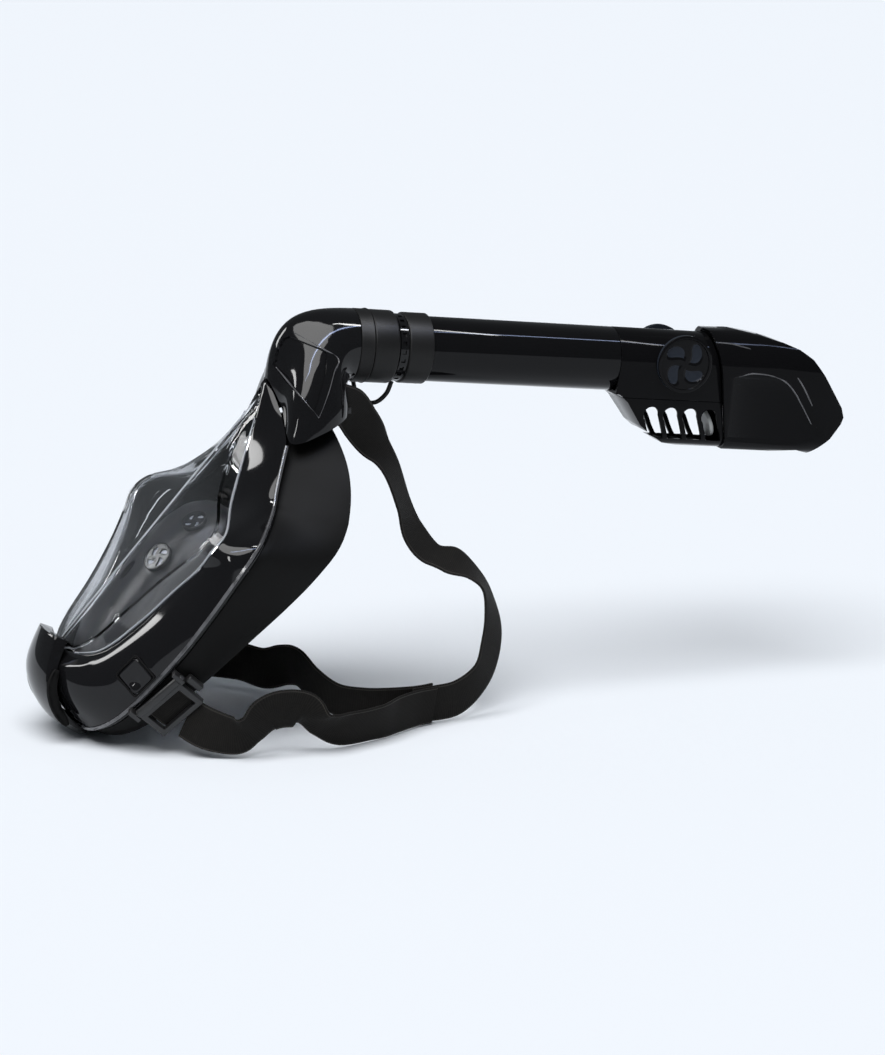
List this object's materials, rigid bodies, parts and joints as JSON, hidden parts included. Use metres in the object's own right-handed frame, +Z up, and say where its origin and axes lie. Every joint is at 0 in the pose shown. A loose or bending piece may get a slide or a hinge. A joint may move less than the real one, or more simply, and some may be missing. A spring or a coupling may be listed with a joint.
{
  "type": "full face snorkel",
  "caption": "Full face snorkel mask with a ridged clear visor, a plug-in dry-top snorkel tube and a webbing harness.",
  "frame": {"origin": "centre of the bounding box's base, on the surface that the mask rests on", "axes": "+Z up, +X from the mask towards the snorkel's tip, -Y the wearer's left"},
  "size_m": [0.5123, 0.1949, 0.2422],
  "materials": {
    "gloss_black": "glossy",
    "clear_visor": "clear, glossy",
    "silicone": "matte",
    "black_rubber": "matte",
    "clear_silicone": "satin",
    "webbing": "woven",
    "steel": "brushed",
    "satin_black": "satin",
    "float_grey": "matte"
  },
  "bodies": {
    "mask": {"buckle_base_left": "satin_black", "buckle_base_right": "satin_black", "buckle_pin_left": "steel", "buckle_pin_right": "steel", "check_cage_lower_left": "satin_black", "check_cage_lower_right": "satin_black", "check_cage_upper_left": "satin_black", "check_cage_upper_right": "satin_black", "check_flap_lower_left": "clear_silicone", "check_flap_lower_right": "clear_silicone", "check_flap_upper_left": "clear_silicone", "check_flap_upper_right": "clear_silicone", "chin_cover": "gloss_black", "drain_valve_flap": "clear_silicone", "drain_valve_seat": "gloss_black", "lower_strap_left": "webbing", "lower_strap_right": "webbing", "neck_ring": "black_rubber", "neck_socket": "gloss_black", "nose_pocket": "silicone", "skirt": "silicone", "skirt_clamp_ring": "gloss_black", "socket_cuff": "black_rubber", "strap_bracket": "satin_black", "tether": "black_rubber", "top_hood": "gloss_black", "upper_strap": "webbing", "visor": "clear_visor", "visor_frame": "gloss_black"},
    "snorkel": {"plug": "gloss_black", "plug_o_ring": "black_rubber", "tube_cuff": "black_rubber", "snorkel_tube": "gloss_black", "channel_walls": "gloss_black", "dry_top_housing": "gloss_black", "intake_grille": "gloss_black", "top_cap": "gloss_black", "exhaust_cover_left": "gloss_black", "exhaust_cover_right": "gloss_black", "exhaust_flap_left": "clear_silicone", "exhaust_flap_right": "clear_silicone", "float_guide": "gloss_black"},
    "float": {"float": "float_grey"},
    "button_left": {"release_button_left": "satin_black"},
    "button_right": {"release_button_right": "satin_black"},
    "buckle_left": {"lower_buckle_left": "satin_black"},
    "buckle_right": {"lower_buckle_right": "satin_black"}
  },
  "joints": [
    {"name": "snorkel_pull", "type": "slide", "parent": "mask", "child": "snorkel", "axis": [0.9938, 0, -0.1115], "range_m": [0, 0.018]},
    {"name": "float_slide", "type": "slide", "parent": "snorkel", "child": "float", "axis": [0.9938, 0, -0.1115], "range_m": [-0.006, 0.006]},
    {"name": "button_left_press", "type": "slide", "parent": "mask", "child": "button_left", "axis": [0.6251, 0.7744, -0.0982], "range_m": [0, 0.0015], "stiffness_N_per_m": 900},
    {"name": "button_right_press", "type": "slide", "parent": "mask", "child": "button_right", "axis": [0.6251, -0.7744, -0.0982], "range_m": [0, 0.0015], "stiffness_N_per_m": 900},
    {"name": "buckle_left_swing", "type": "hinge", "parent": "mask", "child": "buckle_left", "pos_m": [-0.19788, -0.0703, 0.03631], "axis": [0.6014, -0.4384, 0.6679], "range_deg": [-40, 3]},
    {"name": "buckle_right_swing", "type": "hinge", "parent": "mask", "child": "buckle_right", "pos_m": [-0.19788, 0.0703, 0.03631], "axis": [0.6014, 0.4384, 0.6679], "range_deg": [-3, 40]}
  ]
}
